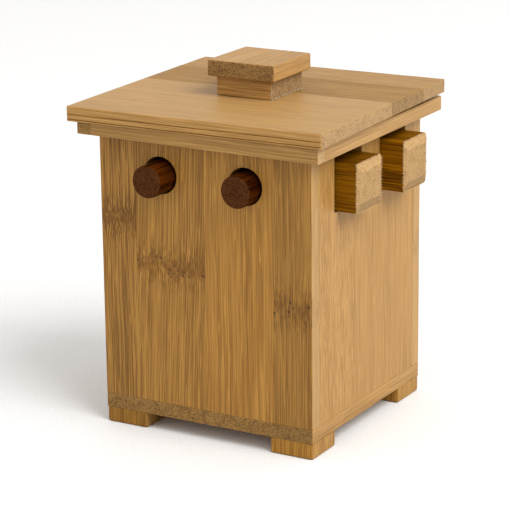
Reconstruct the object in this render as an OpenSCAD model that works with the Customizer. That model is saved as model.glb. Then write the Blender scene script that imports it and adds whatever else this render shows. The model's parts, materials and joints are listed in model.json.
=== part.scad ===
// Wooden puzzle box. Two round dowels in the front and two square bars in the right side lock a keeper
// board under the lid. The lid lifts off only while all four stand at their opening places, as drawn here.
// Millimetres, +Z up, the front faces -Y, and the origin is under the middle of the whole box.

/* [Body] */
// Width of the body across its front
body_w = 88; // [86:1:96]
// Depth of the body from front to back
body_d = 86; // [84:1:92]
// Height of the walls above the base board
wall_h = 105.7; // [90:0.1:120]
// Thickness of the wall and base boards
board_t = 5.5; // [5:0.1:6]
// Height of the feet
foot_h = 6; // [3:0.5:12]
// Side of each square foot
foot_w = 17.5; // [10:0.5:24]

/* [Rim] */
// Height of the rim strips round the top of the walls
rim_h = 5.5; // [4:0.1:8]
// Thickness of the rim strips, outwards from the walls
rim_t = 5.8; // [4:0.1:7]
// How far the rim strips stay below the tops of the walls
rim_drop = 0.3; // [0:0.1:0.8]
// How far the right rim strip runs on past the back one
rim_past = 1.5; // [0:0.1:3]

/* [Lid] */
// Width of the lid
lid_w = 105.6; // [102:0.1:112]
// Depth of the lid
lid_d = 97.9; // [95:0.1:108]
// Thickness of the lid
lid_t = 5.7; // [4:0.1:8]
// How far the lid's middle lies from the body's middle, across and back
lid_shift = [-0.7, -1.4]; // [-2:0.1:2]
// Depths of the lid's front and middle strips; the rear strip takes the rest
lid_strip_d = [53.3, 25.9]; // [15:0.1:60]
// Gap round the plug board that drops between the walls
plug_gap = 0.35; // [0.2:0.05:0.8]

/* [Knob] */
// Side of the square post that carries the knob
post_w = 23; // [12:0.5:26]
// Height of the post
post_h = 7.4; // [4:0.1:12]
// Side of the square cap on the post
cap_w = 28; // [20:0.5:40]
// Thickness of the cap
cap_t = 6.1; // [4:0.1:10]
// How far the knob lies behind the lid's middle
knob_shift = 0.7; // [-3:0.1:3]

/* [Dowels] */
// Diameter of the dowels' heads and collars
dowel_d = 12; // [11:0.1:12.4]
// Diameter of the dowels' shafts
shaft_d = 8; // [6:0.1:8.4]
// Diameter of the two holes in the front wall
hole_d = 13.8; // [13.6:0.1:15]
// Where the front holes are, across from the body's middle
hole_x = [-18.2, 17.2]; // [-20:0.1:20]
// Depth of the front holes' centres below the tops of the walls
hole_down = 18.6; // [18:0.1:19]
// How far each dowel lies across from its hole's centre
dowel_shift = [-0.5, -0.3]; // [-0.5:0.1:0.5]
// How far the dowels lie below their holes' centres
dowel_drop = 0.7; // [0:0.1:0.7]
// How far each dowel stands out of the front wall
dowel_out = [8.8, 6.6]; // [6:0.1:10]
// Travel of each dowel from its opening place to its locked place
dowel_travel = 5.5; // [4:0.1:5.5]

/* [Bars] */
// Width of each bar, front one first
bar_w = [19.4, 18.8]; // [17:0.1:19.5]
// Height of each bar
bar_h = [18.2, 19.2]; // [17:0.1:20]
// Distance of each bar's middle from the front face
bar_y = [27.9, 62]; // [27:0.1:62.5]
// Depth of the bars' undersides below the tops of the walls
bar_down = 28.75; // [28:0.05:29]
// How far each bar stands out of the right wall
bar_out = [8.9, 10.3]; // [6:0.1:10.5]
// Travel of the bars inwards and outwards from their opening place
bar_travel = [5, 3]; // [1:0.5:5]
// Distance of each notch's middle from the front face
notch_y = [27.5, 62.7]; // [27:0.1:63]
// Width of the notches in the right wall
notch_w = 20.8; // [20.2:0.1:22]
// Bevel round the bars' outer ends: its depth, then its width on the sides, then above and below
bevel = [0.9, 1.8, 3.6]; // [0.3:0.1:4]

/* [Keeper] */
// Thickness of the keeper board
keeper_t = 5.5; // [4:0.1:6]
// Diameter of the pin through the keeper board
pin_d = 2.5; // [2:0.1:2.6]
// How far the pin stands into each bar's recess
pin_bite = 2.5; // [1.5:0.1:3]

/* [Hidden] */
$fn = 64;

// Clearances: loose between parts that pass each other, close where a shaft runs in its bearer
loose = 0.3;
close = 0.1;

// Heights above the ground
wall_z = foot_h + board_t;
top_z = wall_z + wall_h;
rim_z = top_z - rim_drop - rim_h;
lid_top_z = top_z + lid_t;
hole_z = top_z - hole_down;
shaft_z = hole_z - dowel_drop;
bar_z = top_z - bar_down;

// Places across and along. The body is moved back so that the whole box, from the left dowel's end to the
// right rim strip's rear end, is centred.
lid_back_over = lid_d / 2 + lid_shift[1] - body_d / 2;
body_y = (dowel_out[0] - max(lid_back_over, rim_t + rim_past)) / 2;
left_x = -body_w / 2;
right_x = body_w / 2;
front_y = body_y - body_d / 2;
back_y = body_y + body_d / 2;
in_left = left_x + board_t;
in_right = right_x - board_t;
in_front = front_y + board_t;
in_back = back_y - board_t;

// The lid, seen from above
lid_x0 = lid_shift[0] - lid_w / 2;
lid_y0 = body_y + lid_shift[1] - lid_d / 2;
knob_mid = [lid_shift[0], body_y + lid_shift[1] + knob_shift];

// The bars leave a passage between them, and the keeper board hangs in its middle
passage_y0 = front_y + bar_y[0] + bar_w[0] / 2;
passage_y1 = front_y + bar_y[1] - bar_w[1] / 2;
keeper_y0 = (passage_y0 + passage_y1 - keeper_t) / 2;
keeper_y1 = keeper_y0 + keeper_t;

// The dowels: a head through the front wall, a thinner shaft under the bars, and one collar
dowel_x = [hole_x[0] + dowel_shift[0], hole_x[1] + dowel_shift[1]];
head_y1 = front_y + bar_y[0] - bar_w[0] / 2 - dowel_travel - 0.5;
collar_l = keeper_y0 - passage_y0 - 0.7;
collar_y0 = [keeper_y0 - loose - collar_l, keeper_y1 + loose];
tail_y1 = [in_back - dowel_travel - loose, in_back - loose];
dowel_chamfer = 0.7;
tail_chamfer = 0.5;

// The bearer strip behind the rear bar holds the dowels' tails
rear_bearer_y0 = front_y + bar_y[1] + bar_w[1] / 2 + 0.6;
rear_bearer_h = 14;

// The bars: a full square head at the right and a thinner tongue that passes over the dowels
tongue_z = shaft_z + shaft_d / 2 + 0.4;
head_x0 = dowel_x[1] + shaft_d / 2 + bar_travel[0] + 3;
tongue_x0 = in_left + bar_travel[0] + 0.4;
left_bearer_x1 = tongue_x0 + bar_travel[1] + 1;
left_bearer_z = [tongue_z - 10, tongue_z + 6.8];

// The keeper board has a keyhole over each dowel, open at the bottom, and a pin between them
keyhole_d = dowel_d + 2 * loose;
keyway_w = shaft_d + 2 * loose;
keeper_margin = 3;
keeper_x0 = dowel_x[0] - keyhole_d / 2 - keeper_margin;
keeper_x1 = dowel_x[1] + keyhole_d / 2 + keeper_margin;
keeper_z0 = shaft_z - keyhole_d / 2 - 2.7;
keeper_z1 = top_z - board_t;
pin_x = (dowel_x[0] + dowel_x[1]) / 2;
pin_z = tongue_z + 0.15 + pin_d / 2;
recess_z1 = pin_z + pin_d / 2 + 0.25;
recess_depth = pin_bite + 0.5;
gate_w = pin_d + 0.7;

// A block between two opposite corners
module block(a, b) {
    translate(a)
        cube(b - a);
}

// A cylinder along the depth of the box
module bore(x, y0, y1, z, d) {
    translate([x, y0, z])
        rotate([-90, 0, 0])
            cylinder(d = d, h = y1 - y0);
}

// ---- Body ----

module front_wall() {
    color("peru")
        difference() {
            block([left_x, front_y, wall_z], [right_x, in_front, top_z]);
            for (x = hole_x)
                bore(x, front_y - 1, in_front + 1, hole_z, hole_d);
        }
}

module back_wall() {
    color("peru")
        block([left_x, in_back, wall_z], [right_x, back_y, top_z]);
}

module left_wall() {
    color("burlywood")
        block([left_x, in_front, wall_z], [in_left, in_back, top_z]);
}

// The bars' notches are cut down from the top edge, and the rim closes them from outside
module right_wall() {
    color("burlywood")
        difference() {
            block([in_right, in_front, wall_z], [right_x, in_back, top_z]);
            for (y = notch_y)
                block([in_right - 1, front_y + y - notch_w / 2, bar_z - 0.2],
                      [right_x + 1, front_y + y + notch_w / 2, top_z + 1]);
        }
}

module base_board() {
    color("sienna")
        block([left_x, front_y, foot_h], [right_x, back_y, wall_z]);
}

// One foot, flush with a corner of the base; the two signs pick the corner
module foot(side_x, side_y) {
    color("peru")
        translate([side_x * (body_w - foot_w) / 2, body_y + side_y * (body_d - foot_w) / 2, foot_h / 2])
            cube([foot_w, foot_w, foot_h], center = true);
}

// ---- Rim: each strip covers one end of its neighbour ----

module rim_strip(a, b) {
    color("burlywood")
        block([a[0], a[1], rim_z], [b[0], b[1], rim_z + rim_h]);
}

module rim_front() {
    rim_strip([left_x, front_y - rim_t], [right_x + rim_t, front_y]);
}

module rim_right() {
    rim_strip([right_x, front_y], [right_x + rim_t, back_y + rim_t + rim_past]);
}

module rim_back() {
    rim_strip([left_x - rim_t, back_y], [right_x, back_y + rim_t]);
}

module rim_left() {
    rim_strip([left_x - rim_t, front_y - rim_t], [left_x, back_y]);
}

// ---- Bearers glued inside the walls ----

module rear_bearer() {
    color("burlywood")
        difference() {
            block([in_left, rear_bearer_y0, shaft_z - rear_bearer_h / 2],
                  [in_right, in_back, shaft_z + rear_bearer_h / 2]);
            for (x = dowel_x)
                bore(x, rear_bearer_y0 - 1, in_back + 1, shaft_z, shaft_d + close);
        }
}

module left_bearer() {
    color("burlywood")
        difference() {
            block([in_left, in_front, left_bearer_z[0]],
                  [left_bearer_x1, rear_bearer_y0, left_bearer_z[1]]);
            for (i = [0, 1])
                block([in_left - 1, front_y + bar_y[i] - bar_w[i] / 2 - loose, tongue_z - close],
                      [left_bearer_x1 + 1, front_y + bar_y[i] + bar_w[i] / 2 + loose, top_z]);
        }
}

// ---- Lid ----

module lid_strip(y0, y1) {
    block([lid_x0, lid_y0 + y0, top_z], [lid_x0 + lid_w, lid_y0 + y1, lid_top_z]);
}

module lid_front_strip() {
    color("burlywood")
        lid_strip(0, lid_strip_d[0]);
}

module lid_middle_strip() {
    color("tan")
        lid_strip(lid_strip_d[0], lid_strip_d[0] + lid_strip_d[1]);
}

module lid_rear_strip() {
    color("burlywood")
        lid_strip(lid_strip_d[0] + lid_strip_d[1], lid_d);
}

module lid_plug() {
    color("tan")
        block([in_left + plug_gap, in_front + plug_gap, keeper_z1],
              [in_right - plug_gap, in_back - plug_gap, top_z]);
}

module keeper_board() {
    color("peru")
        difference() {
            block([keeper_x0, keeper_y0, keeper_z0], [keeper_x1, keeper_y1, keeper_z1]);
            for (x = dowel_x) {
                bore(x, keeper_y0 - 1, keeper_y1 + 1, shaft_z, keyhole_d);
                block([x - keyway_w / 2, keeper_y0 - 1, keeper_z0 - 1],
                      [x + keyway_w / 2, keeper_y1 + 1, shaft_z]);
            }
            bore(pin_x, keeper_y0 - 1, keeper_y1 + 1, pin_z, pin_d);
        }
}

module keeper_pin() {
    color("saddlebrown")
        bore(pin_x, passage_y0 - pin_bite, passage_y1 + pin_bite, pin_z, pin_d);
}

module knob_post() {
    color("peru")
        translate([knob_mid[0], knob_mid[1], lid_top_z + post_h / 2])
            cube([post_w, post_w, post_h], center = true);
}

module knob_cap() {
    color("sienna")
        translate([knob_mid[0], knob_mid[1], lid_top_z + post_h + cap_t / 2])
            cube([cap_w, cap_w, cap_t], center = true);
}

// ---- Dowels: 0 is the left one, 1 the right one ----

module dowel(i) {
    head_y0 = front_y - dowel_out[i];
    collar_y1 = collar_y0[i] + collar_l;
    head_r = dowel_d / 2;
    shaft_r = shaft_d / 2;
    color("#4a2a1a")
        translate([dowel_x[i], 0, shaft_z])
            rotate([-90, 0, 0])
                rotate_extrude()
                    polygon([
                        [0, head_y0],
                        [head_r - dowel_chamfer, head_y0],
                        [head_r, head_y0 + dowel_chamfer],
                        [head_r, head_y1],
                        [shaft_r, head_y1],
                        [shaft_r, collar_y0[i]],
                        [head_r, collar_y0[i]],
                        [head_r, collar_y1],
                        [shaft_r, collar_y1],
                        [shaft_r, tail_y1[i] - tail_chamfer],
                        [shaft_r - tail_chamfer, tail_y1[i]],
                        [0, tail_y1[i]]
                    ]);
}

module left_dowel() {
    dowel(0);
}

module right_dowel() {
    dowel(1);
}

// ---- Bars: 0 is the front one, 1 the rear one ----

// The bar seen from the front: the tongue, then the head with its bevelled end
module bar_side(i) {
    end_x = right_x + bar_out[i];
    bar_top = bar_z + bar_h[i];
    polygon([
        [tongue_x0, tongue_z],
        [head_x0, tongue_z],
        [head_x0, bar_z],
        [end_x - bevel[0], bar_z],
        [end_x, bar_z + bevel[2]],
        [end_x, bar_top - bevel[2]],
        [end_x - bevel[0], bar_top],
        [tongue_x0, bar_top]
    ]);
}

// The bar seen from above
module bar_plan(i) {
    end_x = right_x + bar_out[i];
    half_w = bar_w[i] / 2;
    polygon([
        [tongue_x0, -half_w],
        [end_x - bevel[0], -half_w],
        [end_x, bevel[1] - half_w],
        [end_x, half_w - bevel[1]],
        [end_x - bevel[0], half_w],
        [tongue_x0, half_w]
    ]);
}

// The keeper pin runs in a recess under the bar's inner edge and leaves it through one gate in its top
module bar(i) {
    mid_y = front_y + bar_y[i];
    bar_top = bar_z + bar_h[i];
    inner_y = (i == 0) ? passage_y0 - recess_depth : passage_y1 - 1;
    color("#a8763c")
        difference() {
            intersection() {
                translate([0, mid_y + bar_w[i] / 2, 0])
                    rotate([90, 0, 0])
                        linear_extrude(bar_w[i])
                            bar_side(i);
                translate([0, mid_y, bar_z])
                    linear_extrude(bar_h[i])
                        bar_plan(i);
            }
            block([pin_x - gate_w / 2 - bar_travel[1], inner_y, tongue_z - 1],
                  [pin_x + gate_w / 2 + bar_travel[0], inner_y + recess_depth + 1, recess_z1]);
            block([pin_x - gate_w / 2, inner_y, tongue_z],
                  [pin_x + gate_w / 2, inner_y + recess_depth + 1, bar_top + 1]);
        }
}

module front_bar() {
    bar(0);
}

module rear_bar() {
    bar(1);
}

front_wall();
back_wall();
left_wall();
right_wall();
base_board();
foot(-1, -1);  // foot_front_left
foot(1, -1);  // foot_front_right
foot(-1, 1);  // foot_back_left
foot(1, 1);  // foot_back_right
rim_front();
rim_right();
rim_back();
rim_left();
rear_bearer();
left_bearer();
lid_front_strip();
lid_middle_strip();
lid_rear_strip();
lid_plug();
keeper_board();
keeper_pin();
knob_post();
knob_cap();
left_dowel();
right_dowel();
front_bar();
rear_bar();
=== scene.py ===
"""The wooden puzzle box: eased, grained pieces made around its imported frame, laid out as a Blender add-on.

Lengths are metres, as in the frame, and MM turns millimetres into them. Places inside the wood material are
millimetres, and so are the seams between strips.
"""
import json
import math

import bmesh
import bpy
from mathutils import Matrix, Vector, noise

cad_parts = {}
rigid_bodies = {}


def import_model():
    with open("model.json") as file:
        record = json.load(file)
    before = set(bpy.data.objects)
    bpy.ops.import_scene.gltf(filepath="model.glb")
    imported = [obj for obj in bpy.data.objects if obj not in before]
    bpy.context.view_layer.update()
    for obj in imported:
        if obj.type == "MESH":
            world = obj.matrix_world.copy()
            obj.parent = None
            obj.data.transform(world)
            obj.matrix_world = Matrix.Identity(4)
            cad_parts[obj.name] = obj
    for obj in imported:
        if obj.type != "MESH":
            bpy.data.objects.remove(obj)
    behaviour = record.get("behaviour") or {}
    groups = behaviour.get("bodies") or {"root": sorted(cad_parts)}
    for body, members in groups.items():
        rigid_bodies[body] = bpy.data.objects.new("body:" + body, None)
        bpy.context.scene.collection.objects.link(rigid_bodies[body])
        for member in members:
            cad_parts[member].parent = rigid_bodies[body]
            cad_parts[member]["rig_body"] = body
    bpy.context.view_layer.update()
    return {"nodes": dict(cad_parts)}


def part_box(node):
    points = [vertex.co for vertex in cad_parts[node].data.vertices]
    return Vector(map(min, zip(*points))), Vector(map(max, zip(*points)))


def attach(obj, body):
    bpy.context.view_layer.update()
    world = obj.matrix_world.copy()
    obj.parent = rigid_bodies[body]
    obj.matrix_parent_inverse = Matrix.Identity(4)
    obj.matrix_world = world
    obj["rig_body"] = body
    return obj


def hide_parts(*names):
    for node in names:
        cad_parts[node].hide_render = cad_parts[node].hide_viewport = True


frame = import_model()

bl_info = {
    "name": "Wooden Puzzle Box",
    "version": (1, 0, 0),
    "blender": (4, 5, 0),
    "location": "3D View > Sidebar > Puzzle Box",
    "description": "Makes the boards, lid, knob, dowels and bars of a bamboo puzzle box",
    "category": "Object",
}

MM = 0.001
AXES = "xyz"
QUARTER = math.pi / 2
TOUCHING = 0.01 * MM  # What lies nearer to a face than this lies on it
RING_SPACING = 6 * MM  # Between the cuts along a board that let it bend and wander
NOISE_SEED = 1

noise.seed_set(NOISE_SEED)  # Without a seed, noise_vector takes one from the clock


# ---- Settings ----


def colour(name, description, value):
    """A colour setting."""
    return bpy.props.FloatVectorProperty(
        name=name, description=description, subtype="COLOR", size=3, min=0, max=1, default=value
    )


def length(name, description, value):
    """A length setting, in metres."""
    return bpy.props.FloatProperty(name=name, description=description, unit="LENGTH", default=value)


def count(name, description, value):
    """A setting that counts pieces."""
    return bpy.props.IntProperty(name=name, description=description, min=0, default=value)


def power(name, description, value):
    """A lamp's power setting, in watts."""
    return bpy.props.FloatProperty(name=name, description=description, unit="POWER", default=value)


class PuzzleBoxShape(bpy.types.PropertyGroup):
    """How the pieces are finished by hand."""

    ease: length("Board Ease", "Rounding of the walls' and strips' edges", 0.22 * MM)
    seam: length("Seam Ease", "Rounding where two strips are glued edge to edge", 0.05 * MM)
    lid_ease: length("Lid Ease", "Rounding of the lid's outer edges", 0.55 * MM)
    knob_ease: length("Knob Ease", "Rounding of the knob cap's edges", 0.6 * MM)
    foot_ease: length("Foot Ease", "Rounding of the feet's lower and upright edges", 0.9 * MM)
    corner: length("Rim Corner", "Rounding of the rim's rear right corner", 1.6 * MM)
    wear: length("Wear", "How far the hand-sanded surfaces wander", 0.05 * MM)
    lid_twist: length("Lid Twist", "How far the lid's rear right corner has lifted", 0.9 * MM)
    lid_thin: length("Lid Thinning", "How much thinner the lid is at its rear right corner", 0.7 * MM)
    lid_droop: length("Lid Droop", "How far the lid's front left corner hangs down", 0.8 * MM)
    rim_taper: length("Rim Taper", "How far the rim's front left is planed, above and below", 0.5 * MM)
    glue_line: length("Glue Line", "Height of each glue line along the lid's front edge", 0.3 * MM)
    fibre: length("Fibre Length", "Length of the frayed fibres round the bars' ends", 0.9 * MM)
    fibre_count: count("Fibres", "Frayed fibres on each bar", 420)
    bead: length("Glue Bead", "Size of the beads of dried glue along the knob's post", 0.55 * MM)
    bead_count: count("Glue Beads", "Beads of dried glue along the post's right side", 90)


class PuzzleBoxFinish(bpy.types.PropertyGroup):
    """The colours of the woods and the glue."""

    caramel_light: colour("Caramel Light", "Light fibres of the front boards", (0.375, 0.185, 0.034))
    caramel_dark: colour("Caramel Dark", "Dark fibres of the front boards", (0.155, 0.062, 0.006))
    tan_light: colour("Tan Light", "Light fibres of the pale boards", (0.445, 0.245, 0.074))
    tan_dark: colour("Tan Dark", "Dark fibres of the pale boards", (0.245, 0.118, 0.024))
    bar_light: colour("Bar Light", "Light streaks of the bars", (0.225, 0.088, 0.0008))
    bar_dark: colour("Bar Dark", "Dark streaks of the bars", (0.055, 0.017, 0.0003))
    end_light: colour("End Light", "Ground of the end grain", (0.31, 0.165, 0.042))
    end_dark: colour("End Dark", "Fibre ends", (0.082, 0.032, 0.0035))
    bar_end_light: colour("Bar End Light", "Ground of the bars' ends", (0.42, 0.262, 0.115))
    bar_end_dark: colour("Bar End Dark", "Fibre ends of the bars", (0.15, 0.068, 0.018))
    # Partly the walnut's own pale streaks and partly a painted golden highlight on the dowels' sides
    walnut_light: colour("Walnut Light", "Light streaks of the dowels", (0.115, 0.026, 0.0012))
    walnut_dark: colour("Walnut Dark", "Dark streaks of the dowels", (0.010, 0.0012, 0.0003))
    walnut_end_light: colour("Walnut End Light", "Ground of the dowels' ends", (0.074, 0.0245, 0.0062))
    walnut_end_dark: colour("Walnut End Dark", "Pores of the dowels' ends", (0.020, 0.0052, 0.0012))
    sawn: colour("Sawn Side", "The sawn sides of the outermost strips", (0.47, 0.27, 0.095))
    frayed: colour("Frayed Fibres", "The frayed fibres round the bars' ends", (0.56, 0.37, 0.17))
    glue: colour("Dried Glue", "The glue squeezed out round the knob's post", (0.55, 0.46, 0.34))


class PuzzleBoxStage(bpy.types.PropertyGroup):
    """The floor and the lights."""

    floor: colour("Floor", "Colour of the floor", (0.88, 0.88, 0.88))
    sky: bpy.props.FloatProperty(name="Sky", description="Strength of the even light", min=0, default=0.85)
    key: power("Key Light", "Power of the light from the right", 75.0)
    fill: power("Fill Light", "Power of the light from the front", 5.0)


def shape():
    """The shape settings."""
    return bpy.context.scene.puzzle_box_shape


def finish():
    """The colour settings."""
    return bpy.context.scene.puzzle_box_finish


def stage():
    """The settings of the floor and the lights."""
    return bpy.context.scene.puzzle_box_stage


# ---- Node trees ----


def put(tree, kind, sockets=None, **settings):
    """Adds a node. sockets maps an input's name or number to a value, or to the output that feeds it."""
    made = tree.nodes.new(kind)
    for key, value in settings.items():
        setattr(made, key, value)
    for key, value in (sockets or {}).items():
        if isinstance(value, bpy.types.NodeSocket):
            tree.links.new(value, made.inputs[key])
        else:
            made.inputs[key].default_value = value
    return made


def calc(tree, operation, a, b=0.0, c=0.0):
    """The output of one Math node."""
    return put(tree, "ShaderNodeMath", {0: a, 1: b, 2: c}, operation=operation).outputs[0]


def times(tree, a, b):
    """a times b."""
    return calc(tree, "MULTIPLY", a, b)


def plus(tree, a, b, share=1.0):
    """a plus a share of b."""
    return calc(tree, "MULTIPLY_ADD", b, share, a)


def joined(tree, x, y, z):
    """A vector of three values."""
    return put(tree, "ShaderNodeCombineXYZ", {0: x, 1: y, 2: z}).outputs[0]


def split(tree, vector):
    """The three values of a vector."""
    return put(tree, "ShaderNodeSeparateXYZ", {0: vector}).outputs


def step(tree, value, low, high, out_low=0.0, out_high=1.0):
    """A smooth step of value, from out_low at low to out_high at high."""
    return put(
        tree,
        "ShaderNodeMapRange",
        {"Value": value, "From Min": low, "From Max": high, "To Min": out_low, "To Max": out_high},
        interpolation_type="SMOOTHSTEP",
    ).outputs["Result"]


def blend(tree, share, a, b, blend_type="MIX"):
    """Colour a mixed with colour b."""
    mixed = put(tree, "ShaderNodeMix", {0: share, 6: a, 7: b}, data_type="RGBA", blend_type=blend_type)
    return mixed.outputs[2]


def stretched(tree, place, across, along):
    """place scaled differently across the fibres and along them."""
    scales = (across, across, along)
    return put(tree, "ShaderNodeVectorMath", {0: place, 1: scales}, operation="MULTIPLY").outputs[0]


def streak(tree, place, across, along, detail=2.0, roughness=0.5):
    """Noise drawn out along the fibres, from about -1 to 1. across and along are its cells a millimetre."""
    place = stretched(tree, place, across, along)
    values = {"Vector": place, "Scale": 1.0, "Detail": detail, "Roughness": roughness}
    found = put(tree, "ShaderNodeTexNoise", values).outputs[0]
    return calc(tree, "MULTIPLY_ADD", found, 4.0, -2.0)


def cells(tree, place, across, along, scatter=1.0):
    """Distance to the nearest of the scattered points, in cells."""
    place = stretched(tree, place, across, along)
    values = {"Vector": place, "Scale": 1.0, "Randomness": scatter}
    return put(tree, "ShaderNodeTexVoronoi", values).outputs["Distance"]


# ---- Materials ----


GRAIN_TURN = {"x": (0, -QUARTER, 0), "y": (QUARTER, 0, 0), "z": (0, 0, 0)}  # Turns the fibres onto Z
SEED_SHIFT = 37.0  # How far apart two seeds' patterns lie, in millimetres
PIT_COLOUR = (0.05, 0.02, 0.006, 1)
BLACK = (0, 0, 0, 1)

FIBRE_INPUTS = {
    "NodeSocketVector": ("Place", "Facing"),
    "NodeSocketColor": ("Light", "Dark", "End Light", "End Dark", "Side Tint"),
    "NodeSocketFloat": (
        "Tone", "Streaks", "Broad", "Slant", "Knot At", "Knot", "Pits", "Side", "Specks", "Tilt",
        "End Lean", "Seed",
    ),
}
FIBRE_OUTPUTS = {
    "Color": "NodeSocketColor",
    "Roughness": "NodeSocketFloat",
    "Height": "NodeSocketFloat",
}

WOODS = {
    "caramel": ("caramel_light", "caramel_dark", "end_light", "end_dark"),
    "tan": ("tan_light", "tan_dark", "end_light", "end_dark"),
    "bar": ("bar_light", "bar_dark", "bar_end_light", "bar_end_dark"),
    "walnut": ("walnut_light", "walnut_dark", "walnut_end_light", "walnut_end_dark"),
    "tan, pale ends": ("tan_light", "tan_dark", "bar_end_light", "bar_end_dark"),
}


def joint_scar(tree, given, across, along):
    """The scar where a bamboo joint crosses the fibres.

    Gives the height over it, the distance from it, and its wide band and its narrow one.
    """
    wave = joined(tree, across, given["Seed"], 0.0)
    over = calc(tree, "SUBTRACT", along, given["Knot At"])
    over = plus(tree, over, streak(tree, wave, 0.11, 1.0, 1.0), 0.8)
    distance = calc(tree, "ABSOLUTE", over)
    wide = times(tree, step(tree, distance, 13.0, 1.0), given["Knot"])
    narrow = times(tree, step(tree, distance, 4.5, 1.0), given["Knot"])
    return over, distance, wide, narrow


def wandering(tree, given, place, wide):
    """The place moved across the fibres, which wander a little, lean, and swirl at the joint."""
    across, deep, along = split(tree, place)
    wander = times(tree, streak(tree, place, 0.035, 0.02, 1.0), 0.5)
    swirl = times(tree, times(tree, streak(tree, place, 0.3, 0.12, 1.0), 0.4), wide)
    lean = times(tree, along, given["Slant"])
    moved = plus(tree, plus(tree, across, wander), plus(tree, lean, swirl))
    return joined(tree, moved, deep, along)


def fibre_value(tree, given, place, fibres, wide, narrow):
    """How light the long grain is, from 0 to 1, and the finest of its streaks."""
    broad = streak(tree, fibres, 0.16, 0.006, 2.0)
    middle = streak(tree, fibres, 1.9, 0.014, 2.0, 0.6)
    fine = streak(tree, fibres, 3.8, 0.05, 1.0, 0.6)
    ridge = calc(tree, "ABSOLUTE", streak(tree, fibres, 1.1, 0.016, 1.0))
    pale_lines = step(tree, ridge, 0.16, 0.04)
    dashes = streak(tree, fibres, 2.3, 0.34, 2.0, 0.6)
    blotch = streak(tree, place, 0.3, 0.16, 2.0, 0.5)

    value = plus(tree, times(tree, fine, 0.32), middle, 0.42)
    value = plus(tree, value, pale_lines, 0.6)
    value = calc(tree, "SUBTRACT", value, 0.08)
    value = times(tree, value, given["Streaks"])
    value = times(tree, value, plus(tree, 1.0, narrow, -0.55))
    value = plus(tree, value, broad, given["Broad"])
    value = plus(tree, value, times(tree, dashes, wide), 0.46)
    value = calc(tree, "SUBTRACT", value, times(tree, wide, plus(tree, 0.2, blotch, 0.14)))
    value = plus(tree, value, narrow, -0.06)
    return calc(tree, "ADD", value, 0.55), fine


def open_pits(tree, given, across, over, distance):
    """Small open pits along the joint's scar."""
    flat = joined(tree, across, given["Seed"], over)
    pit = step(tree, cells(tree, flat, 0.42, 0.42), 0.21, 0.14)
    pit = times(tree, pit, step(tree, distance, 3.6, 3.0))
    return times(tree, pit, given["Pits"])


def fibre_ends(tree, given, place, across, through):
    """How much of the end grain is dark: the cut ends of the fibre bundles."""
    leaned = plus(tree, across, through, given["End Lean"])
    cut = joined(tree, leaned, times(tree, through, 0.85), given["Seed"])
    specks = step(tree, cells(tree, cut, 1.9, 1.0, 0.6), 0.55, 0.12)
    mottle = streak(tree, place, 0.35, 0.08, 2.0)
    grit = streak(tree, cut, 2.6, 1.0, 2.0, 0.7)
    dark = plus(tree, times(tree, mottle, 0.2), specks, 0.7)
    dark = plus(tree, dark, grit, 0.2)
    return times(tree, dark, given["Specks"])


def fibre_group():
    """Wood made of straight fibres: streaks along them, specks across them, and the scar of a bamboo joint.

    Place is in millimetres with the fibres along Z. Facing is the surface's normal, turned the same way.
    """
    if "wood fibres" in bpy.data.node_groups:
        return bpy.data.node_groups["wood fibres"]
    tree = bpy.data.node_groups.new("wood fibres", "ShaderNodeTree")
    for kind, names in FIBRE_INPUTS.items():
        for name in names:
            tree.interface.new_socket(name, in_out="INPUT", socket_type=kind)
    for name, kind in FIBRE_OUTPUTS.items():
        tree.interface.new_socket(name, in_out="OUTPUT", socket_type=kind)
    given = tree.nodes.new("NodeGroupInput").outputs
    across, through, along = split(tree, given["Place"])
    place = joined(tree, across, calc(tree, "ADD", through, given["Seed"]), along)

    over, distance, wide, narrow = joint_scar(tree, given, across, along)
    fibres = wandering(tree, given, place, wide)
    value, fine = fibre_value(tree, given, place, fibres, wide, narrow)
    long_grain = blend(tree, step(tree, value, 0.0, 1.0), given["Dark"], given["Light"])
    pit = open_pits(tree, given, across, over, distance)
    long_grain = blend(tree, pit, long_grain, PIT_COLOUR)
    dark_ends = fibre_ends(tree, given, place, across, through)
    end_grain = blend(tree, step(tree, dark_ends, -0.1, 1.0), given["End Light"], given["End Dark"])

    # The outermost strips' sawn sides are paler than their faces
    beside, _, ahead = split(tree, given["Facing"])
    is_side = step(tree, calc(tree, "ABSOLUTE", beside), 0.6, 0.85)
    side_grain = blend(tree, step(tree, value, 0.0, 1.0, 0.72, 1.03), BLACK, given["Side Tint"])
    faces = blend(tree, times(tree, is_side, given["Side"]), long_grain, side_grain)
    is_end = step(tree, calc(tree, "ABSOLUTE", ahead), 0.55, 0.8)
    shown = blend(tree, is_end, faces, end_grain)

    # Painted shading: an end's bevel that faces up is painted paler, and the one that faces down darker
    tilt = times(tree, times(tree, beside, given["Tilt"]), is_end)
    tone = times(tree, calc(tree, "SUBTRACT", 1.0, tilt), given["Tone"])
    tone = put(tree, "ShaderNodeCombineColor", {0: tone, 1: tone, 2: tone}).outputs[0]
    shown = blend(tree, 1.0, shown, tone, "MULTIPLY")

    rough = plus(tree, plus(tree, 0.46, is_end, 0.2), fine, -0.05)
    long_height = plus(tree, times(tree, pit, -1.5), value, 0.6)
    heights = {0: is_end, 2: long_height, 3: times(tree, dark_ends, -0.35)}
    height = put(tree, "ShaderNodeMix", heights).outputs[0]
    put(tree, "NodeGroupOutput", {0: shown, 1: rough, 2: height})
    return tree


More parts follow.
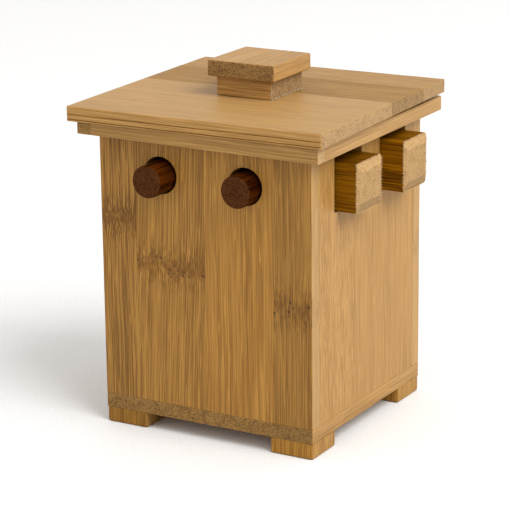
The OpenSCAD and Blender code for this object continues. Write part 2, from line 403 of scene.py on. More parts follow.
def wood(
    name, kind, grain, seed, *, tone=1.0, streaks=1.0, broad=0.25, slant=0.0, knot_at=0.0, knot=0.0,
    pits=0.0, end_tone=1.0, side=0.0, tilt=0.0, end_lean=0.5, specks=1.0, gloss=0.22, relief=0.18,
):
    """A wood whose fibres run along the grain axis.

    tone and end_tone brighten the whole and its end grain. streaks, broad and specks are how strongly the
    streaks, the broad bands and the fibre ends show. slant leans the fibres, and end_lean their ends.
    knot_at is where a bamboo joint crosses the fibres, in millimetres, and knot and pits are how strongly
    it shows. side pales the sawn sides, and relief deepens the bumps. The bevel setting paints shading on an
    end: painted light on its upward bevel and painted shade on its downward one.
    """
    made = bpy.data.materials.new(name)
    made.use_nodes = True
    tree = made.node_tree
    shader = tree.nodes["Principled BSDF"]
    spot = tree.nodes.new("ShaderNodeTexCoord").outputs
    turn = GRAIN_TURN[grain]
    scale = (1 / MM,) * 3
    place = put(tree, "ShaderNodeMapping", {0: spot["Object"], "Rotation": turn, "Scale": scale})
    facing = put(tree, "ShaderNodeMapping", {0: spot["Normal"], "Rotation": turn}, vector_type="VECTOR")
    light, dark, end_light, end_dark = (getattr(finish(), key) for key in WOODS[kind])
    fibres = put(tree, "ShaderNodeGroup", node_tree=fibre_group())
    values = {
        "Light": (*light, 1), "Dark": (*dark, 1), "Side Tint": (*finish().sawn, 1),
        "End Light": (*(c * end_tone for c in end_light), 1),
        "End Dark": (*(c * end_tone for c in end_dark), 1),
        "Tone": tone, "Streaks": streaks, "Broad": broad, "Slant": slant,
        "Knot At": knot_at, "Knot": knot, "Pits": pits, "Side": side, "Specks": specks,
        "Tilt": tilt, "End Lean": end_lean, "Seed": seed * SEED_SHIFT,
    }
    for key, value in values.items():
        fibres.inputs[key].default_value = value
    tree.links.new(place.outputs[0], fibres.inputs["Place"])
    tree.links.new(facing.outputs[0], fibres.inputs["Facing"])
    bumps = {"Strength": relief, "Distance": 0.25 * MM, "Height": fibres.outputs["Height"]}
    bump = put(tree, "ShaderNodeBump", bumps)
    tree.links.new(fibres.outputs["Color"], shader.inputs["Base Color"])
    tree.links.new(fibres.outputs["Roughness"], shader.inputs["Roughness"])
    tree.links.new(bump.outputs[0], shader.inputs["Normal"])
    shader.inputs["Specular IOR Level"].default_value = gloss
    return made


def plain(name, tint, roughness):
    """A finely mottled material for the frayed fibres, the dried glue and the floor."""
    made = bpy.data.materials.new(name)
    made.use_nodes = True
    tree = made.node_tree
    shader = tree.nodes["Principled BSDF"]
    spot = tree.nodes.new("ShaderNodeTexCoord").outputs["Object"]
    mottle = put(tree, "ShaderNodeTexNoise", {"Vector": spot, "Scale": 900.0, "Detail": 2.0}).outputs[0]
    dark = tuple(0.8 * c for c in tint)
    tree.links.new(blend(tree, mottle, (*dark, 1), (*tint, 1)), shader.inputs["Base Color"])
    shader.inputs["Roughness"].default_value = roughness
    return made


# ---- Meshes ----


FLAT = math.radians(1)  # Faces that meet at less than this are one flat face
SHARP = math.radians(20)  # Edges sharper than this are rounded
CREASE = math.radians(40)  # Edges sharper than this stay crisp in the shading
MERGE_DISTANCE = 0.002 * MM
CUT_TOLERANCE = 0.001 * MM
WEAR_PITCH = 7 * MM  # Size of the hollows and swells that sanding leaves
SEED_STEP = (3.1, 1.7, 2.3)  # How far apart two seeds' hollows and swells lie
STRIP_STEP = 0.37  # From one strip's seed to the next


def placed(name, data):
    """A new object in the scene that holds this data."""
    made = bpy.data.objects.new(name, data)
    bpy.context.scene.collection.objects.link(made)
    return made


def mesh_of(name, made):
    """A mesh with this name, made from the working mesh, which is freed."""
    mesh = bpy.data.meshes.new(name)
    made.to_mesh(mesh)
    made.free()
    return mesh


def settle(obj):
    """Gives the object what its modifiers make as a plain mesh of its own, and clears the modifiers."""
    source = obj.data
    mesh = bpy.data.meshes.new_from_object(obj.evaluated_get(bpy.context.evaluated_depsgraph_get()))
    obj.modifiers.clear()
    obj.data = mesh
    bpy.data.meshes.remove(source)
    mesh.name = obj.name


def node_mesh(node):
    """A merged copy of a frame node, with its flat faces whole."""
    made = bmesh.new()
    made.from_mesh(frame["nodes"][node].data)
    bmesh.ops.remove_doubles(made, verts=made.verts, dist=MERGE_DISTANCE)
    bmesh.ops.dissolve_limit(
        made, angle_limit=FLAT, verts=made.verts, edges=made.edges, use_dissolve_boundaries=False
    )
    return made


def slice_at(made, axis, position, keep=None):
    """Cuts the mesh across an axis. keep is "low" or "high" to drop the other side and close the cut."""
    across = Vector([1.0 if name == axis else 0.0 for name in AXES])
    cut = bmesh.ops.bisect_plane(
        made, geom=made.verts[:] + made.edges[:] + made.faces[:], dist=CUT_TOLERANCE,
        plane_co=across * position, plane_no=across, clear_outer=keep == "low", clear_inner=keep == "high",
    )
    if keep:
        edges = [e for e in cut["geom_cut"] if isinstance(e, bmesh.types.BMEdge)]
        bmesh.ops.contextual_create(made, geom=edges)


def ringed(made, axis, spacing=RING_SPACING):
    """Cuts the mesh across an axis at even steps, so that it can bend and wear."""
    places = [v.co[AXES.index(axis)] for v in made.verts]
    low, high = min(places), max(places)
    steps = int((high - low) / spacing)
    for i in range(1, steps):
        slice_at(made, axis, low + (high - low) * i / steps)


def worn(made, amount, seed, pitch=WEAR_PITCH):
    """Lets the surface wander a little, as hand sanding leaves it."""
    shift = Vector([seed * s for s in SEED_STEP])
    for vert in made.verts:
        vert.co += noise.noise_vector(vert.co / pitch + shift) * amount


def rounded(made, ease):
    """The mesh with its sharp edges rounded.

    ease is a width, or a function that gives one for an edge's middle and the axis that it runs along.
    """
    weight = made.edges.layers.float.new("bevel_weight_edge")
    widths = []
    for edge in made.edges:
        if len(edge.link_faces) == 2 and edge.calc_face_angle(0) > SHARP:
            a, b = (v.co for v in edge.verts)
            run = b - a
            axis = AXES[max(range(3), key=lambda i: abs(run[i]))]
            widths.append((edge, ease((a + b) / 2, axis) if callable(ease) else ease))
    widest = max(width for edge, width in widths)
    for edge, width in widths:
        edge[weight] = width / widest

    holder = placed("rounding", mesh_of("rounding", made))
    bevel = holder.modifiers.new("ease", "BEVEL")
    bevel.width = widest
    bevel.segments = 3
    bevel.limit_method = "WEIGHT"
    bevel.use_clamp_overlap = True
    settle(holder)
    mesh = holder.data
    result = bmesh.new()
    result.from_mesh(mesh)
    bpy.data.objects.remove(holder)
    bpy.data.meshes.remove(mesh)
    return result


def board(node, grain, ease, seed, wear=1.0):
    """A single board, eased and slightly worn. wear is a share of the setting."""
    made = rounded(node_mesh(node), ease)
    ringed(made, grain)
    worn(made, shape().wear * wear, seed)
    return made


def strips_of(node, across, seams, grain, seed):
    """A board glued up from strips: one closed mesh for each strip, with its own material number.

    seams are in millimetres from the board's low side, along the axis that crosses the strips.
    """
    axis = AXES.index(across)
    low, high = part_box(node)
    inner = [low[axis] + s * MM for s in seams]
    limits = [low[axis], *inner, high[axis]]

    def width(middle, run):
        on_seam = any(abs(middle[axis] - s) < TOUCHING for s in inner)
        return shape().seam if on_seam else shape().ease

    whole = bmesh.new()
    for number in range(len(limits) - 1):
        strip = node_mesh(node)
        if number > 0:
            slice_at(strip, across, limits[number], "high")
        if number < len(inner):
            slice_at(strip, across, limits[number + 1], "low")
        strip = rounded(strip, width)
        ringed(strip, grain)
        worn(strip, shape().wear, seed + number * STRIP_STEP)
        for face in strip.faces:
            face.material_index = number
        mesh = mesh_of("strip", strip)
        whole.from_mesh(mesh)
        bpy.data.meshes.remove(mesh)
    return whole


def piece(name, made, materials, node):
    """Makes a finished object of the mesh, riding on the node's body and standing for the node."""
    mesh = mesh_of(name, made)
    for material in materials:
        mesh.materials.append(material)
    mesh.polygons.foreach_set("use_smooth", [True] * len(mesh.polygons))
    mesh.set_sharp_from_angle(angle=CREASE)
    obj = placed(name, mesh)
    weighted = obj.modifiers.new("even shading", "WEIGHTED_NORMAL")
    weighted.keep_sharp = True
    settle(obj)
    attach(obj, frame["nodes"][node]["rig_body"])
    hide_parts(node)


def eased_end(radius, y, size, front, steps=4):
    """Stations round the edge of a turned piece's end. front is true for an end that faces -Y."""
    inward = 1 if front else -1
    points = []
    for i in range(steps + 1):
        angle = QUARTER * i / steps
        points.append((radius - size * (1 - math.sin(angle)), y + inward * size * (1 - math.cos(angle))))
    return points if front else points[::-1]


def turned(node, stations, sides=96):
    """A round piece turned about the node's middle line along Y. stations are (radius, y) pairs."""
    low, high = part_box(node)
    x, z = (low.x + high.x) / 2, (low.z + high.z) / 2
    turns = [math.tau * i / sides for i in range(sides)]
    made = bmesh.new()
    loops = [
        [made.verts.new((x + radius * math.cos(turn), y, z + radius * math.sin(turn))) for turn in turns]
        for radius, y in stations
    ]
    for first, second in zip(loops, loops[1:]):
        for i in range(sides):
            j = (i + 1) % sides
            made.faces.new((first[i], first[j], second[j], second[i]))
    made.faces.new(reversed(loops[0]))
    made.faces.new(loops[-1])
    bmesh.ops.recalc_face_normals(made, faces=made.faces)
    return made


# ---- Frayed fibres and beads of glue ----


SCATTER_INPUTS = (
    ("Line", "NodeSocketGeometry"),
    ("Count", "NodeSocketInt"),
    ("Size", "NodeSocketFloat"),
    ("Spread", "NodeSocketFloat"),
    ("Seed", "NodeSocketInt"),
    ("Material", "NodeSocketMaterial"),
)


def scatter_tree(fibres):
    """A Geometry Nodes tree that scatters fibres, or beads of glue, along the line it is given."""
    name = "frayed fibres" if fibres else "glue beads"
    if name in bpy.data.node_groups:
        return bpy.data.node_groups[name]
    tree = bpy.data.node_groups.new(name, "GeometryNodeTree")
    for label, kind in SCATTER_INPUTS:
        tree.interface.new_socket(label, in_out="INPUT", socket_type=kind)
    tree.interface.new_socket("Pieces", in_out="OUTPUT", socket_type="NodeSocketGeometry")
    given = tree.nodes.new("NodeGroupInput").outputs

    def scatter(low, high, seed_shift):
        values = {0: low, 1: high, 8: calc(tree, "ADD", given["Seed"], seed_shift)}
        return put(tree, "FunctionNodeRandomValue", values, data_type="FLOAT_VECTOR").outputs[0]

    line = put(tree, "GeometryNodeMeshToCurve", {0: given["Line"]}).outputs[0]
    points = put(tree, "GeometryNodeResampleCurve", {"Curve": line, "Count": given["Count"]}).outputs[0]
    shake = scatter((-1, -1, -1), (1, 1, 1), 11)
    reach = times(tree, given["Size"], given["Spread"])
    shake = put(tree, "ShaderNodeVectorMath", {0: shake, "Scale": reach}, operation="SCALE").outputs[0]
    points = put(tree, "GeometryNodeSetPosition", {"Geometry": points, "Offset": shake}).outputs[0]
    if fibres:
        single = put(tree, "GeometryNodeMeshCone", {
            "Vertices": 5, "Radius Top": times(tree, given["Size"], 0.05),
            "Radius Bottom": times(tree, given["Size"], 0.2), "Depth": given["Size"],
        })
        turn = scatter((-0.5, QUARTER - 0.5, -0.5), (0.5, QUARTER + 0.5, 0.5), 23)
        grow = scatter((0.5, 0.5, 0.3), (1.0, 1.0, 1.0), 37)
    else:
        single = put(tree, "GeometryNodeMeshUVSphere", {
            "Segments": 8, "Rings": 6, "Radius": times(tree, given["Size"], 0.5),
        })
        turn = scatter((0, 0, 0), (3, 3, 3), 23)
        grow = scatter((0.3, 0.3, 0.25), (1.3, 1.0, 0.6), 37)
    spread = put(tree, "GeometryNodeInstanceOnPoints", {
        "Points": points, "Instance": single.outputs[0], "Rotation": turn, "Scale": grow,
    }).outputs[0]
    real = put(tree, "GeometryNodeRealizeInstances", {0: spread}).outputs[0]
    painted = put(tree, "GeometryNodeSetMaterial", {"Geometry": real, "Material": given["Material"]})
    put(tree, "NodeGroupOutput", {0: painted.outputs[0]})
    return tree


def scattered(name, corners, fibres, number, size, spread, material, seed):
    """A plain mesh of fibres or beads scattered along the line through the corners."""
    line = bpy.data.meshes.new(name)
    line.from_pydata(corners, [(i, i + 1) for i in range(len(corners) - 1)], [])
    holder = placed(name, line)
    modifier = holder.modifiers.new("scatter", "NODES")
    modifier.node_group = scatter_tree(fibres)
    values = {"Count": number, "Size": size, "Spread": spread, "Seed": seed, "Material": material}
    for socket in modifier.node_group.interface.items_tree:
        if socket.in_out == "INPUT" and socket.name in values:
            modifier[socket.identifier] = values[socket.name]
    settle(holder)
    holder.data.polygons.foreach_set("use_smooth", [True] * len(holder.data.polygons))
    return holder


# ---- Operators ----


WALLS = (
    ("front", "x", (15.0, 44.2, 72.3), "caramel", "bamboo", (
        dict(tone=0.92, streaks=2.1, broad=0.28, knot_at=81.0, knot=2.0),
        dict(tone=0.98, streaks=0.95, broad=0.12, slant=-0.05, knot_at=64.5, knot=1.3, pits=1.0),
        dict(tone=1.09, streaks=0.7, broad=0.05),
        dict(tone=0.89, streaks=0.9, broad=0.1, knot_at=56.0, knot=1.0, pits=1.0, side=1.0),
    )),
    ("right", "y", (26.5, 54.5), "tan", "bamboo_light", (
        dict(tone=0.99, streaks=0.75, broad=0.15, slant=0.05),
        dict(tone=1.0, streaks=0.5, broad=0.08),
        dict(tone=1.01, streaks=0.5, broad=0.08),
    )),
    ("back", "x", (23.0, 49.0, 74.0), "caramel", "bamboo", (
        dict(tone=1.0, streaks=0.8, broad=0.15, knot_at=40.0, knot=0.9, pits=1.0, side=1.0),
        dict(tone=0.92, streaks=1.0, broad=0.2, slant=0.03, knot_at=95.0, knot=0.9),
        dict(tone=1.04, streaks=0.7, broad=0.1),
        dict(tone=0.95, streaks=0.9, broad=0.15, knot_at=60.0, knot=1.0, pits=1.0, side=1.0),
    )),
    ("left", "y", (22.0, 49.0), "tan", "bamboo_light", (
        dict(tone=0.94, streaks=0.7, broad=0.15),
        dict(tone=1.0, streaks=0.6, broad=0.1, knot_at=70.0, knot=0.9, pits=1.0),
        dict(tone=0.96, streaks=0.75, broad=0.15, slant=-0.04),
    )),
)


class MakeWalls(bpy.types.Operator):
    """Make the four walls from glued bamboo strips"""

    bl_idname = "puzzle_box.walls"
    bl_label = "Walls"

    def execute(self, context):
        for number, (side, across, seams, kind, slot, strips) in enumerate(WALLS):
            looks = [
                wood(f"{side} strip {i}", kind, "z", 10 * number + i, **look)
                for i, look in enumerate(strips, 1)
            ]
            made = strips_of(f"{side}_wall", across, seams, "z", number + 1)
            piece(f"{side}_wall_board", made, looks, f"{side}_wall")
        return {"FINISHED"}


BASE_SEAMS = (29.0, 50.0, 72.0)
BASE_STRIPS = (
    dict(tone=0.96, end_tone=0.83, specks=1.8),
    dict(tone=0.94, end_tone=0.9, specks=2.0),
    dict(tone=0.98, end_tone=0.83, specks=1.8),
    dict(tone=0.94, end_tone=0.76, specks=2.0),
)
FOOT_TONES = {"front_left": 0.8, "front_right": 1.0, "back_right": 1.0, "back_left": 1.0}
FOOT_TOP_EASE = 0.1 * MM
FOOT_WEAR = 0.6


class MakeBase(bpy.types.Operator):
    """Make the base board and its four feet"""

    bl_idname = "puzzle_box.base"
    bl_label = "Base and Feet"

    def execute(self, context):
        looks = [
            wood(f"base strip {i}", "tan", "y", 40 + i, streaks=0.8, **look)
            for i, look in enumerate(BASE_STRIPS, 1)
        ]
        base = strips_of("base_board", "x", BASE_SEAMS, "y", 5)
        piece("base_board_strips", base, looks, "base_board")

        for number, (corner, tone) in enumerate(FOOT_TONES.items(), 1):
            node = f"foot_{corner}"
            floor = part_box(node)[0].z

            def width(middle, run):
                on_floor = middle.z < floor + TOUCHING
                return shape().foot_ease if on_floor or run == "z" else FOOT_TOP_EASE

            seed = 50 + number
            block = board(node, "z", width, seed, FOOT_WEAR)
            for vert in block.verts:
                vert.co.z = max(vert.co.z, floor)
            look = wood(
                f"foot wood {number}", "caramel", "z", seed,
                tone=tone, streaks=0.9, broad=0.3, side=0.4, gloss=0.1,
            )
            piece(f"{node}_block", block, [look], node)
        return {"FINISHED"}


RIM_EASE = 0.35 * MM
RIM_STRIPS = (
    ("rim_front", "tan, pale ends", "x", "bamboo", 0.87, 1.22),
    ("rim_right", "tan", "y", "bamboo_light", 0.97, 0.85),
    ("rim_back", "tan", "x", "bamboo_light", 1.0, 0.85),
    ("rim_left", "tan", "y", "bamboo_light", 0.95, 0.85),
)


class MakeRim(bpy.types.Operator):
    """Make the four strips round the top of the walls"""

    bl_idname = "puzzle_box.rim"
    bl_label = "Rim"

    def execute(self, context):
        near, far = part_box("rim_front")[0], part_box("rim_right")[1]
        middle_z = (far.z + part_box("rim_right")[0].z) / 2

        def width(middle, run):
            at_corner = run == "z" and (middle.xy - far.xy).length < TOUCHING
            at_back = run == "x" and middle.y > far.y - TOUCHING
            return shape().corner if at_corner or at_back else RIM_EASE

        for seed, (node, kind, grain, slot, tone, end_tone) in enumerate(RIM_STRIPS, 61):
            made = board(node, grain, width, seed)
            for vert in made.verts:
                left = (far.x - vert.co.x) / (2 * far.x)
                ahead = (far.y - vert.co.y) / (far.y - near.y)
                taper = shape().rim_taper * max(left, 0) * max(ahead, 0)
                vert.co.z += -taper if vert.co.z > middle_z else taper
            look = wood(
                f"{node} wood", kind, grain, seed,
                tone=tone, streaks=0.8, broad=0.15, end_tone=end_tone, side=0.5,
            )
            piece(f"{node}_strip", made, [look], node)
        return {"FINISHED"}


LID_BOARDS = (
    ("front", "bamboo_light", dict(tone=0.95, streaks=0.6, broad=0.1, side=0.75, end_tone=0.93)),
    ("middle", "bamboo", dict(tone=0.80, streaks=0.7, broad=0.12, end_tone=0.83, gloss=0.08)),
    ("rear", "bamboo_light", dict(tone=0.93, streaks=0.6, broad=0.08, end_tone=0.88, gloss=0.2)),
)
LID_CROSS_SPACING = 8 * MM
LID_TEXTURE = 0.07 * MM  # How far the lid's fine unevenness goes
LID_TEXTURE_PITCH = 1.6 * MM
PLUG_EASE = 0.3 * MM
GLUE_GROOVES = ((0.47, 0.30 * MM), (0.13, 0.38 * MM))  # Height as a share of the lid's thickness, and depth
GLUE_REACH = 0.3 * MM  # How near to the lid's front a corner lies that a groove moves
GLUE_DRIFT = 0.14 * MM  # How far a groove strays up and down
GLUE_DEPTH_PITCH = 9 * MM
GLUE_DRIFT_PITCH = 5 * MM


def glue_lines(made, low):
    """Two uneven glue lines along the front edge of the lid, sunk in grooves of their own material."""
    thick = max(v.co.z for v in made.verts) - low.z
    half = shape().glue_line / 2
    for share, depth in GLUE_GROOVES:
        middle = low.z + thick * share
        for z in (middle - 2 * half, middle - half, middle + half, middle + 2 * half):
            slice_at(made, "z", z)
        for face in made.faces:
            if face.normal.y < -0.9 and abs(face.calc_center_median().z - middle) < half:
                face.material_index = 1
        for vert in made.verts:
            if abs(vert.co.z - middle) < 1.1 * half and vert.co.y < low.y + GLUE_REACH:
                sunk = 0.55 + 0.45 * noise.noise(vert.co / GLUE_DEPTH_PITCH + Vector((share * 50, 0, 0)))
                vert.co.y += depth * sunk
                vert.co.z += GLUE_DRIFT * noise.noise(vert.co / GLUE_DRIFT_PITCH)


def bend_lid(made, low, high, body):
    """Lifts and thins the lid's rear right corner, and lets its front left corner hang past the body."""
    for vert in made.verts:
        right = min(max((vert.co.x - low.x) / (high.x - low.x), 0), 1)
        back = min(max((vert.co.y - low.y) / (high.y - low.y), 0), 1)
        below = (high.z - vert.co.z) / (high.z - low.z)
        vert.co.z += (shape().lid_twist + shape().lid_thin * below) * right * back
        past_left = (body.x - vert.co.x) / (body.x - low.x)
        past_front = (body.y - vert.co.y) / (body.y - low.y)
        past = max(past_left, past_front, 0)
        hangs = (1 - right) * (1 - back) * (past * below + 1 - below)
        vert.co.z -= shape().lid_droop * hangs


class MakeLid(bpy.types.Operator):
    """Make the lid's three boards, slightly twisted, and the plug board under them"""

    bl_idname = "puzzle_box.lid"
    bl_label = "Lid"

    def execute(self, context):
        low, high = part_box("lid_front_strip")
        low, high = low.copy(), high.copy()
        high.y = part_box("lid_rear_strip")[1].y
        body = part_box("front_wall")[0]

        def width(middle, run):
            at_side = run == "y" or middle.y < low.y + TOUCHING or middle.y > high.y - TOUCHING
            if at_side and run == "z":
                return 2 * shape().lid_ease
            return shape().lid_ease if at_side else shape().seam

        for seed, (place, slot, look) in enumerate(LID_BOARDS, 71):
            node = f"lid_{place}_strip"
            made = board(node, "x", width, seed)
            ringed(made, "y", LID_CROSS_SPACING)
            if place == "front":
                glue_lines(made, low)
            worn(made, LID_TEXTURE, seed, LID_TEXTURE_PITCH)
            bend_lid(made, low, high, body)
            top = wood(f"{node} wood", "tan, pale ends", "x", seed, end_lean=0.8, specks=1.1, **look)
            line = wood(f"{node} glue line", "bar", "x", seed, streaks=0.5, broad=0.1, gloss=0.1)
            piece(f"{node}_board", made, [top, line], node)

        plug = board("lid_plug", "x", PLUG_EASE, 74)
        look = wood("plug wood", "tan", "x", 74, tone=0.95, streaks=0.6)
        piece("lid_plug_board", plug, [look], "lid_plug")
        return {"FINISHED"}


POST_EASE = 0.35 * MM
BEAD_SPREAD = 0.5  # How far the beads stray from their line, in beads
CORNER_BEADS = 0.12  # How many beads run up the post's corner for each one along its side


class MakeKnob(bpy.types.Operator):
    """Make the knob's post and cap, and the glue squeezed out beside the post"""

    bl_idname = "puzzle_box.knob"
    bl_label = "Knob"

    def execute(self, context):
        post = board("knob_post", "x", POST_EASE, 81)
        look = wood(
            "post wood", "tan, pale ends", "x", 81, streaks=1.2, broad=0.2, end_tone=0.78, specks=1.5,
        )
        piece("knob_post_block", post, [look], "knob_post")
        cap = board("knob_cap", "y", shape().knob_ease, 82)
        look = wood(
            "cap wood", "tan", "y", 82,
            tone=1.02, streaks=0.8, broad=0.15, side=0.35, end_tone=0.85, specks=2.2, gloss=0.35,
        )
        piece("knob_cap_block", cap, [look], "knob_cap")

        # The lid's middle lifts by a quarter of its twist, and the beads lie a quarter of a bead above it
        low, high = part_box("knob_post")
        foot_z = low.z + shape().lid_twist / 4 + shape().bead / 4
        foot = (high.x, low.y, foot_z)
        runs = (
            ((high.x, high.y, foot_z), foot, 1.0),
            (foot, (high.x, low.y, (low.z + high.z) / 2), CORNER_BEADS),
        )
        glue = plain("dried glue", finish().glue, 0.45)
        for seed, (start, end, share) in enumerate(runs):
            number = int(shape().bead_count * share)
            beads = scattered(
                f"glue_beads_{seed + 1}", [start, end], False, number, shape().bead, BEAD_SPREAD, glue, seed
            )
            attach(beads, "lid")
        return {"FINISHED"}


DOWEL_END_EASE = 0.9 * MM
COLLAR_EASE = 0.3 * MM
TAIL_EASE = 0.5 * MM
SHAFT_SHARE = 2 / 3  # The shaft's thickness as a share of the head's
HEAD_TO_BARS = 6 * MM
COLLAR_TO_KEEPER = 0.3 * MM
COLLAR_PLAY = 0.7 * MM  # What a collar leaves free of the way between the front bar and the keeper board


class MakeDowels(bpy.types.Operator):
    """Turn the two dark dowels"""

    bl_idname = "puzzle_box.dowels"
    bl_label = "Dowels"

    def execute(self, context):
        bar_low, bar_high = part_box("front_bar")
        keeper_low, keeper_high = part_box("keeper_board")
        collar_length = keeper_low.y - bar_high.y - COLLAR_PLAY
        collars = {
            "left_dowel": keeper_low.y - COLLAR_TO_KEEPER - collar_length,
            "right_dowel": keeper_high.y + COLLAR_TO_KEEPER,
        }
        for seed, (node, collar) in enumerate(collars.items(), 91):
            low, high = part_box(node)
            head = (high.x - low.x) / 2
            shaft = head * SHAFT_SHARE
            head_end = bar_low.y - HEAD_TO_BARS
            collar_end = collar + collar_length
            made = turned(node, [
                *eased_end(head, low.y, DOWEL_END_EASE, True),
                *eased_end(head, head_end, COLLAR_EASE, False),
                (shaft, head_end),
                (shaft, collar),
                *eased_end(head, collar, COLLAR_EASE, True),
                *eased_end(head, collar_end, COLLAR_EASE, False),
                (shaft, collar_end),
                *eased_end(shaft, high.y, TAIL_EASE, False),
            ])
            # The dowels' light streaks hold a painted golden highlight, so their real gloss is kept low
            look = wood(
                f"{node} walnut", "walnut", "y", seed,
                tone=0.8, streaks=1.5, broad=0.6, end_tone=1.2, specks=1.8, gloss=0.03, relief=0.3,
            )
            piece(f"{node}_turned", made, [look], node)
        return {"FINISHED"}


BAR_TONES = {"front_bar": 0.95, "rear_bar": 1.2}
BAR_EASE = 0.3 * MM
BAR_FRONT_EASE = 0.8 * MM  # The long edges on the bar's front side
BAR_REAR_EASE = 1.4 * MM  # The long edges on its rear side, and the rear edge of its end
BAR_END = 3 * MM  # How far in from the end an edge still belongs to it
ROUGH_SPACING = 0.6 * MM  # Between the cuts that let the end grow rough
ROUGH_REACH = 2.4 * MM  # How far in from the end the bar is rough
ROUGH_PITCH = 0.5 * MM
ROUGH_DEPTH = 0.17 * MM
FRINGE_SETBACK = 1.1 * MM  # From the end to the ring of frayed fibres
FRINGE_INSET = 0.15 * MM  # How deep the fibres root
FRINGE_CUT = 1.5 * MM  # How far the ring cuts across the rear corners
FRINGE_SPREAD = 0.22  # How far the fibres stray from the ring, in fibre lengths


def rough_end(made, high, seed):
    """Roughens the end that stands out of the wall."""
    for vert in made.verts:
        near = max(0.0, 1 - (high.x - vert.co.x) / ROUGH_REACH)
        shake = noise.noise_vector(vert.co / ROUGH_PITCH + Vector((seed, 0, 0)))
        vert.co += Vector((shake.x * 0.6, shake.y, shake.z)) * ROUGH_DEPTH * near


def fringe_line(low, high):
    """The ring round the bar's end where the frayed fibres root."""
    x = high.x - FRINGE_SETBACK
    front, back = low.y + FRINGE_INSET, high.y - FRINGE_INSET
    bottom, top = low.z + FRINGE_INSET, high.z - FRINGE_INSET
    corners = (
        (front, bottom), (front, top), (back - FRINGE_CUT, top), (back, top - FRINGE_CUT),
        (back, bottom + FRINGE_CUT), (back - FRINGE_CUT, bottom), (front, bottom),
    )
    return [(x, y, z) for y, z in corners]


class MakeBars(bpy.types.Operator):
    """Make the two square bars with their frayed ends"""

    bl_idname = "puzzle_box.bars"
    bl_label = "Bars"

    def execute(self, context):
        for seed, (node, tone) in enumerate(BAR_TONES.items(), 101):
            low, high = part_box(node)

            def width(middle, run):
                at_rear = middle.y > high.y - TOUCHING
                on_top_or_bottom = min(middle.z - low.z, high.z - middle.z) < TOUCHING
                end_edge = run == "z" and at_rear and middle.x > high.x - BAR_END
                if end_edge or (run == "x" and on_top_or_bottom):
                    return BAR_REAR_EASE if at_rear else BAR_FRONT_EASE
                return BAR_EASE

            made = rounded(node_mesh(node), width)
            ringed(made, "x")
            ringed(made, "y", ROUGH_SPACING)
            ringed(made, "z", ROUGH_SPACING)
            rough_end(made, high, seed)
            # The ends' bevels get painted shading: paler on the upward bevel, darker on the downward one
            look = wood(
                f"{node} wood", "bar", "x", seed,
                tone=tone, streaks=0.75, broad=0.5, tilt=0.8, end_tone=0.92 / tone, gloss=0.06, relief=0.3,
            )
            piece(f"{node}_stick", made, [look], node)

            pale = plain(f"{node} frayed fibres", finish().frayed, 0.8)
            fringe = scattered(
                f"{node}_fibres", fringe_line(low, high), True, shape().fibre_count, shape().fibre,
                FRINGE_SPREAD, pale, seed,
            )
            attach(fringe, node)
        return {"FINISHED"}


LOCK_GRAINS = {"rear_bearer": "x", "left_bearer": "y", "keeper_board": "x"}
LOCK_EASE = 0.25 * MM
PIN_EASE = 0.3 * MM
PIN_SIDES = 32


class MakeLock(bpy.types.Operator):
    """Make the bearers, the keeper board and its pin"""

    bl_idname = "puzzle_box.lock"
    bl_label = "Locking Work"

    def execute(self, context):
        for seed, (node, grain) in enumerate(LOCK_GRAINS.items(), 111):
            made = rounded(node_mesh(node), LOCK_EASE)
            look = wood(f"{node} wood", "caramel", grain, seed, tone=0.95, streaks=0.8)
            piece(f"{node}_cut", made, [look], node)

        low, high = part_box("keeper_pin")
        radius = (high.x - low.x) / 2
        front = eased_end(radius, low.y, PIN_EASE, True)
        back = eased_end(radius, high.y, PIN_EASE, False)
        pin = turned("keeper_pin", front + back, sides=PIN_SIDES)
        look = wood("pin wood", "tan", "y", 114, streaks=0.8)
        piece("keeper_pin_turned", pin, [look], "keeper_pin")
        return {"FINISHED"}


FLOOR_HALF = 8.0
SKY_TINT = (1.0, 0.99, 0.97, 1)
LAMP_TARGET = (0, 0, 0.07)
KEY_PLACE = (1.9, -0.5, 2.1)
KEY_SIZE = 1.8
FILL_PLACE = (-0.7, -2.2, 1.3)
FILL_SIZE = 1.4
CAMERA_AT = (0.4149, -0.6787, 0.3029)  # From the box's middle, the front wall's face and the floor
CAMERA_TURN, CAMERA_TILT, CAMERA_ROLL = 30.16, 16.29, -0.68  # Degrees
CAMERA_LENS = 162.3
CAMERA_SENSOR = 36.0
CAMERA_SHIFT = 0.0024


def area_light(name, place, size, watts):
    """A soft square light at place, facing the box."""
    lamp = bpy.data.lights.new(name, "AREA")
    lamp.shape = "SQUARE"
    lamp.size = size
    lamp.energy = watts
    holder = placed(name, lamp)
    holder.location = place
    holder.rotation_euler = (Vector(LAMP_TARGET) - Vector(place)).to_track_quat("-Z", "Y").to_euler()


def add_camera():
    """The camera, looking at the box's front right edge from a little above."""
    lens = bpy.data.cameras.new("camera")
    lens.lens = CAMERA_LENS
    lens.sensor_width = CAMERA_SENSOR
    lens.shift_x = lens.shift_y = CAMERA_SHIFT
    lens.clip_start = 0.01
    lens.clip_end = 50.0
    camera = placed("camera", lens)
    x, y, z = CAMERA_AT
    camera.matrix_world = (
        Matrix.Translation((x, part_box("front_wall")[0].y + y, z))
        @ Matrix.Rotation(math.radians(CAMERA_TURN), 4, "Z")
        @ Matrix.Rotation(math.radians(90 - CAMERA_TILT), 4, "X")
        @ Matrix.Rotation(math.radians(CAMERA_ROLL), 4, "Z")
    )
    return camera


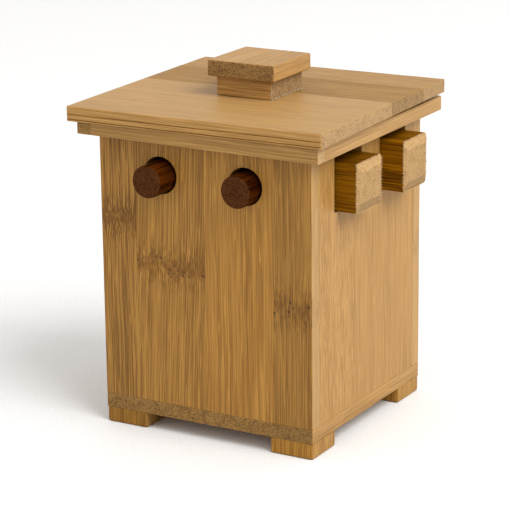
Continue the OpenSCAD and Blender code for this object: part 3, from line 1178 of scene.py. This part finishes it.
class MakeStage(bpy.types.Operator):
    """Make the floor, the lights and the camera"""

    bl_idname = "puzzle_box.stage"
    bl_label = "Stage"

    def execute(self, context):
        made = bmesh.new()
        bmesh.ops.create_grid(made, x_segments=8, y_segments=8, size=FLOOR_HALF)
        mesh = mesh_of("floor", made)
        mesh.materials.append(plain("floor paper", stage().floor, 0.9))
        floor = placed("floor", mesh)

        world = bpy.data.worlds.new("studio")
        world.use_nodes = True
        sky = world.node_tree.nodes["Background"]
        sky.inputs["Color"].default_value = SKY_TINT
        sky.inputs["Strength"].default_value = stage().sky
        context.scene.world = world
        area_light("key", KEY_PLACE, KEY_SIZE, stage().key)
        area_light("fill", FILL_PLACE, FILL_SIZE, stage().fill)
        context.scene.camera = add_camera()
        context.scene.view_settings.view_transform = "Standard"
        return {"FINISHED"}


# ---- The add-on ----


OPERATORS = (MakeWalls, MakeBase, MakeRim, MakeLid, MakeKnob, MakeDowels, MakeBars, MakeLock, MakeStage)


class PuzzleBoxPanel(bpy.types.Panel):
    """Lists the operators and the settings."""

    bl_idname = "VIEW3D_PT_puzzle_box"
    bl_label = "Puzzle Box"
    bl_space_type = "VIEW_3D"
    bl_region_type = "UI"
    bl_category = "Puzzle Box"

    def draw(self, context):
        for operator in OPERATORS:
            self.layout.operator(operator.bl_idname)
        for group in (shape(), finish(), stage()):
            box = self.layout.box()
            for name in group.__annotations__:
                box.prop(group, name)


SETTINGS = (
    ("puzzle_box_shape", PuzzleBoxShape),
    ("puzzle_box_finish", PuzzleBoxFinish),
    ("puzzle_box_stage", PuzzleBoxStage),
)


def register():
    """Adds the settings, the operators and the panel."""
    for name, group in SETTINGS:
        bpy.utils.register_class(group)
        setattr(bpy.types.Scene, name, bpy.props.PointerProperty(type=group))
    for made in (*OPERATORS, PuzzleBoxPanel):
        bpy.utils.register_class(made)


def unregister():
    """Removes what register added, in the opposite order."""
    for made in (PuzzleBoxPanel, *reversed(OPERATORS)):
        bpy.utils.unregister_class(made)
    for name, group in reversed(SETTINGS):
        delattr(bpy.types.Scene, name)
        bpy.utils.unregister_class(group)


def main():
    """Makes every piece and the stage."""
    register()
    for operator in OPERATORS:
        family, name = operator.bl_idname.split(".")
        getattr(getattr(bpy.ops, family), name)()


if __name__ == "__main__":
    main()
